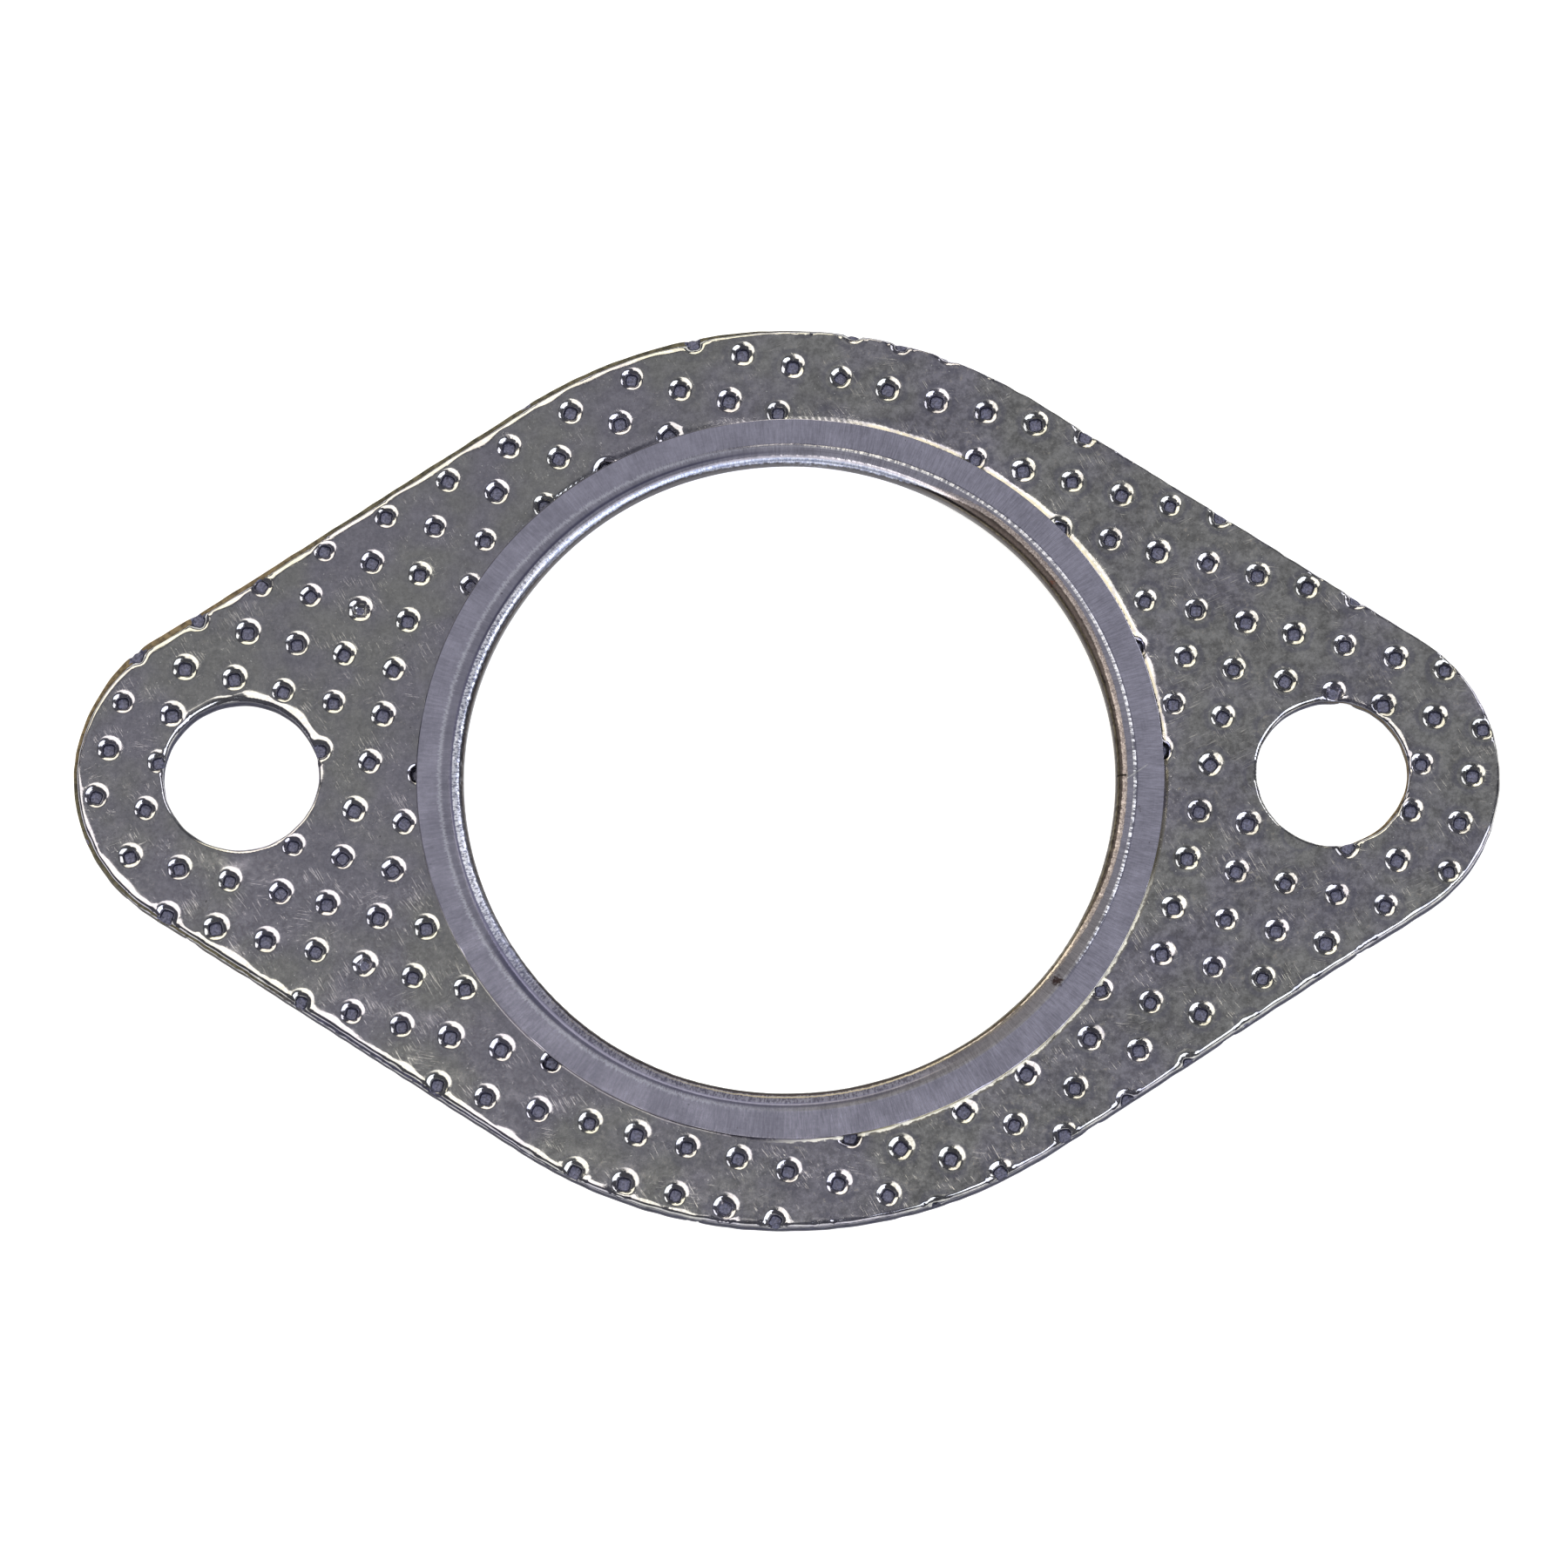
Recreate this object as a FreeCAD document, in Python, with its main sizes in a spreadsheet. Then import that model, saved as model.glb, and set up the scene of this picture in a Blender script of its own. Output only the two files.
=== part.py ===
import FreeCAD, Part
import math
import os
import Sketcher

# A two-bolt exhaust flange gasket that lies flat. Two punched steel facings grip a soft filler
# between them, and a fire ring rolled from steel strip wraps the edge of the gas passage.
# The origin is where the axis of the gas passage meets the surface that the gasket rests on.
# +X runs towards one bolt hole and +Z is up. Lengths are in millimetres, angles in degrees.

SIZES = {
    "bore_radius": (25.7, "gas passage inside the fire ring"),
    "ring_sheet": (0.25, "strip thickness of the fire ring"),
    "ring_wall": (0.4, "straight part of the ring's wall between its two rolled corners"),
    "ring_grip": (3.6, "reach of the ring's flanges outwards from the gas passage"),
    "ring_wrap_gap": (0.1, "room between the ring's bends and the edge that it wraps"),
    "facing_sheet": (0.3, "sheet thickness of each facing"),
    "filler_thickness": (1.0, "thickness of the filler between the facings"),
    "body_radius": (37.0, "outline round the gas passage"),
    "ear_radius": (13.3, "outline round each bolt hole"),
    "bolt_spacing": (85.2, "distance between the bolt holes"),
    "bolt_hole_radius": (6.0, "clearance hole for a bolt or stud"),
    "funnel_pitch": (4.0, "distance between neighbouring funnels"),
    "funnel_mouth": (1.9, "width of a funnel at the outer face of the sheet"),
    "funnel_throat": (0.7, "side of the square hole at the bottom of a funnel"),
    "lattice_across": (0.18, "X of the lattice's middle funnel"),
    "lattice_up": (1.0, "Y of the lattice's middle funnel"),
    "lattice_turn": (-14.3, "angle from +X to the funnel rows"),
}

SKETCH_ORIGIN = (-1, 1)
SKETCH_X_AXIS = -1
START, END, CENTRE = range(1, 4)
CORNERS_OF_SQUARE = 4
SIDES_OF_OCTAGON = 8


class Length:
    """A length that carries both its value and the sheet formula that gives it."""

    def __init__(self, value, formula):
        self.value = value
        self.formula = formula

    def __add__(self, other):
        return Length(self.value + other.value, f"{self.formula} + {other.formula}")

    def __sub__(self, other):
        return Length(self.value - other.value, f"{self.formula} - ({other.formula})")

    def __neg__(self):
        return Length(-self.value, f"-({self.formula})")

    def half(self):
        return Length(self.value / 2, f"({self.formula}) / 2")

    def diagonal(self):
        """Its reach along each axis when it lies at 45 degrees."""
        return Length(self.value * math.sqrt(0.5), f"({self.formula}) * sqrt(0.5)")


def make_sheet(document):
    """The spreadsheet of driving sizes, one named row for each."""
    sheet = document.addObject("Spreadsheet::Sheet", "Sizes")
    for row, (name, (value, note)) in enumerate(SIZES.items(), 1):
        sheet.set(f"A{row}", name)
        sheet.set(f"B{row}", str(value))
        sheet.setAlias(f"B{row}", name)
        sheet.set(f"C{row}", note)
    document.recompute()
    return sheet


def size(name):
    return Length(float(sheet.get(name)), f"Sizes.{name}")


def make_body(name):
    body = document.addObject("PartDesign::Body", name)
    body.Label = name
    return body


def make_sketch(body, role, name):
    """A sketch on one of the body's own origin planes."""
    sketch = body.newObject("Sketcher::SketchObject", name)
    plane = next(item for item in body.Origin.OriginFeatures if item.Role == role)
    sketch.AttachmentSupport = [(plane, "")]
    sketch.MapMode = "FlatFace"
    return sketch


def tie(sketch, name, length, kind, *where):
    """Adds a dimension to the sketch and binds it to the sheet."""
    index = sketch.addConstraint(Sketcher.Constraint(kind, *where, length.value))
    sketch.renameConstraint(index, name)
    sketch.setExpression(f"Constraints.{name}", length.formula)


def draw_circle(sketch, name, radius, centre):
    """A circle about a point that the sketch already has."""
    across = sketch.getPoint(*centre)
    circle = Part.Circle(across, FreeCAD.Vector(0, 0, 1), radius.value)
    index = sketch.addGeometry(circle)
    sketch.addConstraint(Sketcher.Constraint("Coincident", index, CENTRE, *centre))
    tie(sketch, name, radius, "Radius", index)


def draw_outline(sketch):
    """The outer edge: a round middle, two round ears and four straight flanks tangent to both."""
    body_radius = size("body_radius")
    ear_radius = size("ear_radius")
    ear_offset = size("bolt_spacing").half()
    normal = math.acos((body_radius.value - ear_radius.value) / ear_offset.value)
    up = FreeCAD.Vector(0, 0, 1)
    stations = [
        (FreeCAD.Vector(ear_offset.value, 0, 0), ear_radius.value, -normal, normal),
        (FreeCAD.Vector(0, 0, 0), body_radius.value, normal, math.pi - normal),
        (FreeCAD.Vector(-ear_offset.value, 0, 0), ear_radius.value, math.pi - normal, math.pi + normal),
        (FreeCAD.Vector(0, 0, 0), body_radius.value, math.pi + normal, 2 * math.pi - normal),
    ]
    arcs = [Part.ArcOfCircle(Part.Circle(centre, up, radius), first, last)
            for centre, radius, first, last in stations]
    for number, arc in enumerate(arcs):
        following = arcs[(number + 1) % len(arcs)]
        sketch.addGeometry(arc)
        sketch.addGeometry(Part.LineSegment(arc.EndPoint, following.StartPoint))
    right_ear, top, left_ear, bottom = 0, 2, 4, 6
    pieces = 2 * len(arcs)
    for piece in range(pieces):
        sketch.addConstraint(Sketcher.Constraint("Tangent", piece, END, (piece + 1) % pieces, START))
    sketch.addConstraint(Sketcher.Constraint("Coincident", top, CENTRE, *SKETCH_ORIGIN))
    sketch.addConstraint(Sketcher.Constraint("Coincident", bottom, CENTRE, *SKETCH_ORIGIN))
    sketch.addConstraint(Sketcher.Constraint("PointOnObject", right_ear, CENTRE, SKETCH_X_AXIS))
    sketch.addConstraint(Sketcher.Constraint("Symmetric", right_ear, CENTRE, left_ear, CENTRE, *SKETCH_ORIGIN))
    sketch.addConstraint(Sketcher.Constraint("Equal", top, bottom))
    sketch.addConstraint(Sketcher.Constraint("Equal", right_ear, left_ear))
    tie(sketch, "ear_offset", ear_offset, "DistanceX", right_ear, CENTRE)
    tie(sketch, "ear_radius", ear_radius, "Radius", right_ear)
    tie(sketch, "body_radius", body_radius, "Radius", top)
    draw_circle(sketch, "wrapped_radius", wrapped_radius(), SKETCH_ORIGIN)
    draw_circle(sketch, "right_hole_radius", size("bolt_hole_radius"), (right_ear, CENTRE))
    draw_circle(sketch, "left_hole_radius", size("bolt_hole_radius"), (left_ear, CENTRE))


def draw_profile(sketch, corners):
    """A closed profile of straight sides, with both coordinates of every corner tied to the sheet."""
    points = [FreeCAD.Vector(across.value, up.value, 0) for across, up in corners]
    count = len(points)
    for index, point in enumerate(points):
        sketch.addGeometry(Part.LineSegment(point, points[(index + 1) % count]))
    for index in range(count):
        sketch.addConstraint(Sketcher.Constraint("Coincident", index, END, (index + 1) % count, START))
    for index, (across, up) in enumerate(corners):
        tie(sketch, f"across_{index}", across, "DistanceX", index, START)
        tie(sketch, f"up_{index}", up, "DistanceY", index, START)


def pad_outline(body, underside, thickness):
    """Adds the flat plate of one layer, open round the gas passage and at both bolt holes."""
    sketch = make_sketch(body, "XY_Plane", "outline")
    sketch.setExpression("AttachmentOffset.Base.z", underside.formula)
    draw_outline(sketch)
    pad = body.newObject("PartDesign::Pad", "plate")
    pad.Profile = sketch
    pad.setExpression("Length", thickness.formula)
    document.recompute()


def face_height():
    """Height of a facing's outer face above the middle of the gasket."""
    return size("filler_thickness").half() + size("facing_sheet")


def ring_half_height():
    return face_height() + size("ring_sheet")


def roll_radius():
    """Outside radius of the ring's rolled corners."""
    return ring_half_height() - size("ring_wall").half()


def flange_radius():
    """Outer edge of the ring's flanges."""
    return size("bore_radius") + size("ring_grip")


def wrapped_radius():
    """Inner edge of the facings and the filler, which the fire ring wraps."""
    return size("bore_radius") + roll_radius() + size("ring_wrap_gap")


def place_on_rest(part):
    """Lifts a part that is drawn about the gasket's mid-plane until the ring rests at Z = 0."""
    part.setExpression("Placement.Base.z", ring_half_height().formula)


def make_filler():
    """The soft sheet between the two facings."""
    body = make_body("filler")
    pad_outline(body, -size("filler_thickness").half(), size("filler_thickness"))
    place_on_rest(body)
    return body


def make_blank():
    """One facing before it is punched, drawn as the upper one."""
    body = make_body("facing_blank")
    pad_outline(body, size("filler_thickness").half(), size("facing_sheet"))
    return body


def distance_outside(x, y):
    """How far a point lies outside the outline, or minus its distance from the edge inside it."""
    body_radius = size("body_radius").value
    ear_radius = size("ear_radius").value
    ear_offset = size("bolt_spacing").half().value
    sine = (body_radius - ear_radius) / ear_offset
    cosine = math.sqrt(1 - sine * sine)
    along, aside = abs(x), abs(y)
    station = along * cosine - aside * sine
    if station < 0:
        return math.hypot(along, aside) - body_radius
    if station > cosine * ear_offset:
        return math.hypot(along - ear_offset, aside) - ear_radius
    return aside * cosine + along * sine - body_radius


def funnel_centres():
    """The square lattice of funnels, kept where a centre lies on the sheet that shows."""
    pitch = size("funnel_pitch").value
    turn = math.radians(size("lattice_turn").value)
    span = math.ceil((size("bolt_spacing").value + size("body_radius").value) / pitch)
    centres = []
    for row in range(-span, span + 1):
        for column in range(-span, span + 1):
            along, aside = column * pitch, row * pitch
            x = size("lattice_across").value + along * math.cos(turn) - aside * math.sin(turn)
            y = size("lattice_up").value + along * math.sin(turn) + aside * math.cos(turn)
            beside_hole = math.hypot(abs(x) - size("bolt_spacing").half().value, y)
            on_sheet = distance_outside(x, y) < 0
            off_ring = math.hypot(x, y) > flange_radius().value
            off_hole = beside_hole > size("bolt_hole_radius").value
            if on_sheet and off_ring and off_hole:
                centres.append((x, y))
    return centres


def polygon(points):
    return Part.Face(Part.makePolygon(points + points[:1]))


def make_punch():
    """The solid that opens one funnel: eight-sided at the face, closing to a square throat."""
    throat_height = size("filler_thickness").half().value
    overshoot = size("facing_sheet").value / 2
    throat = size("funnel_throat").value / 2
    mouth = size("funnel_mouth").value / 2
    stretch = 1 + overshoot / size("facing_sheet").value
    flat = throat + (mouth - throat) * stretch
    side = throat + (mouth * math.tan(math.pi / SIDES_OF_OCTAGON) - throat) * stretch
    square = [(throat, -throat), (throat, throat), (-throat, throat), (-throat, -throat)]
    octagon = [(flat, -side), (flat, side), (side, flat), (-side, flat),
               (-flat, side), (-flat, -side), (-side, -flat), (side, -flat)]
    tip = [FreeCAD.Vector(x, y, throat_height - overshoot) for x, y in square]
    neck = [FreeCAD.Vector(x, y, throat_height) for x, y in square]
    top = [FreeCAD.Vector(x, y, face_height().value + overshoot) for x, y in octagon]
    faces = [polygon(tip), polygon(top)]
    for corner in range(CORNERS_OF_SQUARE):
        after = (corner + 1) % CORNERS_OF_SQUARE
        next_side = (2 * corner + 2) % SIDES_OF_OCTAGON
        faces.append(polygon([tip[corner], tip[after], neck[after], neck[corner]]))
        faces.append(polygon([neck[corner], neck[after], top[2 * corner + 1], top[2 * corner]]))
        faces.append(polygon([neck[after], top[next_side], top[2 * corner + 1]]))
    punch = Part.Solid(Part.Shell(faces))
    punch.rotate(FreeCAD.Vector(0, 0, 0), FreeCAD.Vector(0, 0, 1), size("lattice_turn").value)
    return punch


def make_punches():
    """A punch at every lattice point, as one shape that is cut from the blank in a single blow."""
    punch = make_punch()
    copies = [punch.translated(FreeCAD.Vector(x, y, 0)) for x, y in funnel_centres()]
    punches = document.addObject("Part::Feature", "punches")
    punches.Shape = Part.makeCompound(copies)
    return punches


def make_facing(name, blank, punches, turned_over):
    """The blank with its funnels punched through, as it lies or turned over about the X axis."""
    facing = document.addObject("Part::Cut", name)
    facing.Label = name
    facing.Base = blank
    facing.Tool = punches
    if turned_over:
        facing.Placement = FreeCAD.Placement(FreeCAD.Vector(0, 0, 0), FreeCAD.Rotation(0, 0, 180))
    place_on_rest(facing)
    return facing


def make_ring():
    """The fire ring: strip rolled into a channel whose flanges grip both faces."""
    body = make_body("fire_ring")
    bore = size("bore_radius")
    wall = bore + size("ring_sheet")
    flange = flange_radius()
    under = face_height()
    over = ring_half_height()
    roll = roll_radius()
    bend = roll - size("ring_sheet")
    cut = roll - roll.diagonal()
    outside = [(flange, over), (bore + roll, over), (bore + cut, over - cut), (bore, over - roll)]
    inside = [(wall, under - bend), (wall + bend, under), (flange, under)]
    mirrored_outside = [(across, -up) for across, up in reversed(outside)]
    mirrored_inside = [(across, -up) for across, up in reversed(inside)]
    sketch = make_sketch(body, "XZ_Plane", "channel_profile")
    draw_profile(sketch, outside + mirrored_outside + mirrored_inside + inside)
    channel = body.newObject("PartDesign::Revolution", "channel")
    channel.Profile = sketch
    channel.ReferenceAxis = (sketch, ["V_Axis"])
    channel.Angle = 360
    place_on_rest(body)
    return body


def check(part):
    """Stops the build unless a part is one sound solid."""
    if part.Shape.isNull() or not part.Shape.isValid() or len(part.Shape.Solids) != 1:
        raise RuntimeError(f"{part.Label} is not one valid solid")


document = FreeCAD.newDocument("exhaust_gasket")
sheet = make_sheet(document)
blank = make_blank()
punches = make_punches()
parts = [
    make_facing("upper_facing", blank, punches, turned_over=False),
    make_filler(),
    make_facing("lower_facing", blank, punches, turned_over=True),
    make_ring(),
]
document.recompute()

for item in document.Objects:
    if "Invalid" in item.State or "Error" in item.State:
        raise RuntimeError(f"{item.Label} failed to build")
os.makedirs("parts", exist_ok=True)
for part in parts:
    check(part)
for part in parts:
    part.Shape.exportStep(f"parts/{part.Label}.step")
    box = part.Shape.BoundBox
    extent = f"{box.XLength:.2f} x {box.YLength:.2f} x {box.ZLength:.2f} mm"
    print(f"{part.Label}: {part.Shape.Volume:.1f} mm3, {extent}")
print(f"{len(funnel_centres())} funnels in each facing")
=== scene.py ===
import math
import random
from collections import namedtuple
from types import SimpleNamespace

import bpy
import numpy as np
from mathutils import Matrix, Vector
from mathutils.geometry import delaunay_2d_cdt


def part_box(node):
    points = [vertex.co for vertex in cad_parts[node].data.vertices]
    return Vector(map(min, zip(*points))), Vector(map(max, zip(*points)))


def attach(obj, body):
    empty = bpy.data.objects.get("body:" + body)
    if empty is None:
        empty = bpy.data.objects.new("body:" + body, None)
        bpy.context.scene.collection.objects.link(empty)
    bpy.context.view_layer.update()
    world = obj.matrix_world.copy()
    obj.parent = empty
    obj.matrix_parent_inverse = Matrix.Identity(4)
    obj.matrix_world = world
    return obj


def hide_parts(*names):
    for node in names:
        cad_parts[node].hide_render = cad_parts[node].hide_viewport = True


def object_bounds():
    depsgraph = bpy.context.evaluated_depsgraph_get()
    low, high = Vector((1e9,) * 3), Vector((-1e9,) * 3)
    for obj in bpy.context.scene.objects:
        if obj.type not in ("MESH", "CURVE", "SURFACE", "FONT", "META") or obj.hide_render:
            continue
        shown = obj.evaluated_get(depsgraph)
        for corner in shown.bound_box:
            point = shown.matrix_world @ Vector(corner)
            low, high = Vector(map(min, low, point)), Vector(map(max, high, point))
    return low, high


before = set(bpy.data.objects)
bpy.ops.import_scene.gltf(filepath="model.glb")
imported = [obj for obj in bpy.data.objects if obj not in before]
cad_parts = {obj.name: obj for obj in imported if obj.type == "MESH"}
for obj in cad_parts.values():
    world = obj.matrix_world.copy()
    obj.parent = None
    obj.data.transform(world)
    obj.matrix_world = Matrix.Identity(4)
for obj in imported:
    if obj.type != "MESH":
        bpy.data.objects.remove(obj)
cad_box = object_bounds()

# All lengths below are in millimetres, and the meshes are scaled to metres when they are made.
MM = 0.001

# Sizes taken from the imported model
gasket_low, gasket_high = (corner / MM for corner in cad_box)
upper_low, upper_high = (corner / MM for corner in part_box("upper_facing"))
BODY_RADIUS = upper_high.y
FACE = upper_high.z
SHEET = upper_high.z - upper_low.z
MIDDLE = (gasket_low.z + gasket_high.z) / 2
HEIGHT = gasket_high.z
FLANGE_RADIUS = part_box("fire_ring")[1].x / MM

# Sizes that the boxes of the pieces don't give
EAR_OFFSET = 42.6
EAR_RADIUS = upper_high.x - EAR_OFFSET
HOLE_RADIUS = 6.0
BORE_RADIUS = 25.7
LAYER_RADIUS = 26.8

# How far this blank is out of true
LEFT_HOLE = (-EAR_OFFSET - 0.19, 0.17)
RIGHT_HOLE = (EAR_OFFSET + 0.1, 0.11)
BORE_SLIP = 0.38
FLANGE_SHIFT = 0.25
FLANGE_GROWTH = 0.2

# The lattice of funnels
PITCH = 4.0
LATTICE_TURN = math.radians(-14.3)
LATTICE_START = (0.18, 1.0)
LATTICE_ACROSS = 16
LATTICE_ALONG = 12

# Falling slope of a funnel's wall by distance from its centre
SLOPE_AT = (
    (1.24, 0.0), (1.12, 0.06), (1.02, 0.13), (0.93, 0.21), (0.87, 0.33), (0.8, 0.43), (0.7, 0.52),
    (0.64, 0.64), (0.6, 0.6), (0.57, 0.45), (0.55, 0.7), (0.535, 2.4), (0.51, 2.8), (0.48, 2.0),
    (0.25, 1.5),
)
FUNNEL_REACH = 1.27
FUNNEL_SIDES = 22
FUNNEL_RINGS = (1.24, 1.1, 0.98, 0.88, 0.78, 0.69, 0.62, 0.57, 0.54, 0.51, 0.48)
THROAT = FUNNEL_RINGS[-1]
# Places where a funnel stayed shut
SHUT_NEAR = ((-33.4, 13.5), (-4.8, -35.4), (-33.1, -15.6), (42.9, 6.9))

# Where a facing has extra corners: inwards from its edges, and outwards from the ring's flange
EDGE_INSETS = (0.06, 0.13, 0.21, 0.3, 0.4, 0.52, 0.7, 0.95)
FLANGE_GAPS = (-0.1, 0.0, 0.08, 0.16, 0.25, 0.35, 0.46, 0.62, 0.9)
EDGE_STEP = 0.3
FLANGE_STEP = 0.5
CLEAR_OF_EDGE = 0.045

# The filler under a funnel: a pocket, in it a moat, and in that a mesa that swells up into the throat
FILLER_RINGS = (1.3, 0.9, 0.75, 0.62, 0.53, 0.48, 0.455, 0.43, 0.38, 0.19)
POCKET_REACH = 0.54
MOAT_REACH = 0.48
MESA_REACH = 0.44
MOAT_HEIGHT = 1.12
MESA_HEIGHT = 1.38
WALL_STEPS = 5

# The cross-section of the fire ring: a land outside, a step up to a band, and the roll into the bore
RING_SIDES = 2000
RING_SHEET = 0.25
ROLL_RADIUS = 1.0
BAND = HEIGHT - 0.01
LAND = HEIGHT - 0.07
SLIP_FROM = 27.0
SLIP_WIDTH = 0.4
RING_ANGLES = np.arange(RING_SIDES) * 2 * math.pi / RING_SIDES

# Groups of parallel scratches: direction in degrees, length, size of a group, and how rare they are
SCRATCHES = ((61, 2.0, 0.33, 0.525), (52, 1.5, 0.45, 0.555), (-24, 1.4, 0.3, 0.565), (8, 2.5, 0.25, 0.59))
# Patches of rust on the ring, with their sizes
RUST_PATCHES = (((20.95, -16.85, HEIGHT), 0.42), ((20.9, 15.6, HEIGHT), 0.3), ((27.44, -3.0, HEIGHT), 0.12))

Funnel = namedtuple("Funnel", "spot turn size depth shut")


def waves(points, seed, length):
    """Smooth lumps over the plane, about -1 to 1, as long as the given length."""
    rng = np.random.default_rng(seed)
    total = np.zeros(len(points))
    for _ in range(7):
        turn = rng.uniform(0, 2 * np.pi)
        step = 2 * np.pi / (length * rng.uniform(0.7, 1.6))
        total += np.sin(points @ (step * np.array([np.cos(turn), np.sin(turn)])) + rng.uniform(0, 2 * np.pi))
    return total / 3.2


# Outline and holes


def outline_depth(points):
    """How far each point lies inside the outline, which wraps the body's circle and both ears."""
    along, across = np.abs(points[:, 0]), np.abs(points[:, 1])
    lean = (BODY_RADIUS - EAR_RADIUS) / EAR_OFFSET
    rise = math.sqrt(1 - lean * lean)
    side = rise * along - lean * across
    return np.where(
        side < 0,
        BODY_RADIUS - np.hypot(along, across),
        np.where(
            side > rise * EAR_OFFSET,
            EAR_RADIUS - np.hypot(along - EAR_OFFSET, across),
            BODY_RADIUS - lean * along - rise * across,
        ),
    )


def outline_points(inset, step):
    """Points along the outline, moved inwards by the inset, with their outward directions."""
    turn = math.acos((BODY_RADIUS - EAR_RADIUS) / EAR_OFFSET)
    arcs = (
        (EAR_OFFSET, EAR_RADIUS, -turn, turn),
        (0.0, BODY_RADIUS, turn, math.pi - turn),
        (-EAR_OFFSET, EAR_RADIUS, math.pi - turn, math.pi + turn),
        (0.0, BODY_RADIUS, math.pi + turn, 2 * math.pi - turn),
    )
    ends = []
    for centre, radius, start, stop in arcs:
        count = max(8, int(radius * (stop - start) / step))
        angles = np.linspace(start, stop, count)
        out = np.c_[np.cos(angles), np.sin(angles)]
        ends.append((out * (radius - inset) + (centre, 0.0), out))
    points, ways = [], []
    for index, (arc, out) in enumerate(ends):
        points.append(arc)
        ways.append(out)
        begin, finish = arc[-1], ends[(index + 1) % len(ends)][0][0]
        count = int(np.linalg.norm(finish - begin) / step)
        share = np.linspace(0, 1, count + 1)[1:-1, None]
        points.append(begin + share * (finish - begin))
        ways.append(np.repeat(out[-1:], len(share), 0))
    return np.concatenate(points), np.concatenate(ways)


def circle_points(centre, radius, step):
    """Points round a circle, with their outward directions."""
    count = int(2 * math.pi * radius / step)
    angles = np.arange(count) * 2 * math.pi / count
    out = np.c_[np.cos(angles), np.sin(angles)]
    return out * radius + centre, out


def by_angle(points, knots, centre=(0.0, 0.0)):
    """A value that changes round a centre, from (degrees, value) knots."""
    turns = np.degrees(np.arctan2(points[:, 1] - centre[1], points[:, 0] - centre[0])) % 360
    angles, values = np.array(knots).T
    return np.interp(turns, angles, values, period=360)


class Edge(namedtuple("Edge", "centre radius slip roll width share pinch seed")):
    """One closed edge of a layer: the outline, a hole or the bore.

    The slip is how far the edge stands out past its plain shape, and the roll is how far the sheet
    falls towards it, over a width. Both the roll and its width follow the share at that place. The
    pinch is how much the shears turned the very edge down.
    """

    def depth(self, points):
        """How far each point lies inside the layer, from this edge."""
        if self.centre is None:
            depth = outline_depth(points)
        else:
            depth = np.hypot(*(points - self.centre).T) - self.radius
        return depth + self.slip(points) + 0.02 * waves(points, self.seed, 1.6)

    def loop(self, inset, step):
        """Points along the edge, moved into the layer by the inset."""
        if self.centre is None:
            points, out = outline_points(inset, step)
        else:
            points, out = circle_points(self.centre, self.radius + inset, step)
            out = -out
        for _ in range(3):
            points = points + out * (self.depth(points) - inset)[:, None]
        return points

    def fall(self, points, depth):
        """How far the sheet rolls down towards this edge."""
        if not self.roll:
            return np.zeros(len(points))
        share = self.share(points)
        width = self.width * share * (1 + 0.3 * waves(points, self.seed + 1, 3.0))
        drop = self.roll * np.sqrt(share) * (1 + 0.25 * waves(points, self.seed + 2, 4.5))
        pinch = self.pinch(points)
        burr = self.roll * 0.85 * pinch * np.clip(1 - depth / (0.13 * pinch), 0, 1) ** 2
        return drop * np.clip(1 - depth / width, 0, 1) ** 2 + burr


def no_slip(points):
    """The slip of an edge that keeps its plain shape."""
    return np.zeros(len(points))


def plain(points):
    """An even share all round."""
    return np.ones(len(points))


# Funnels


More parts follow.
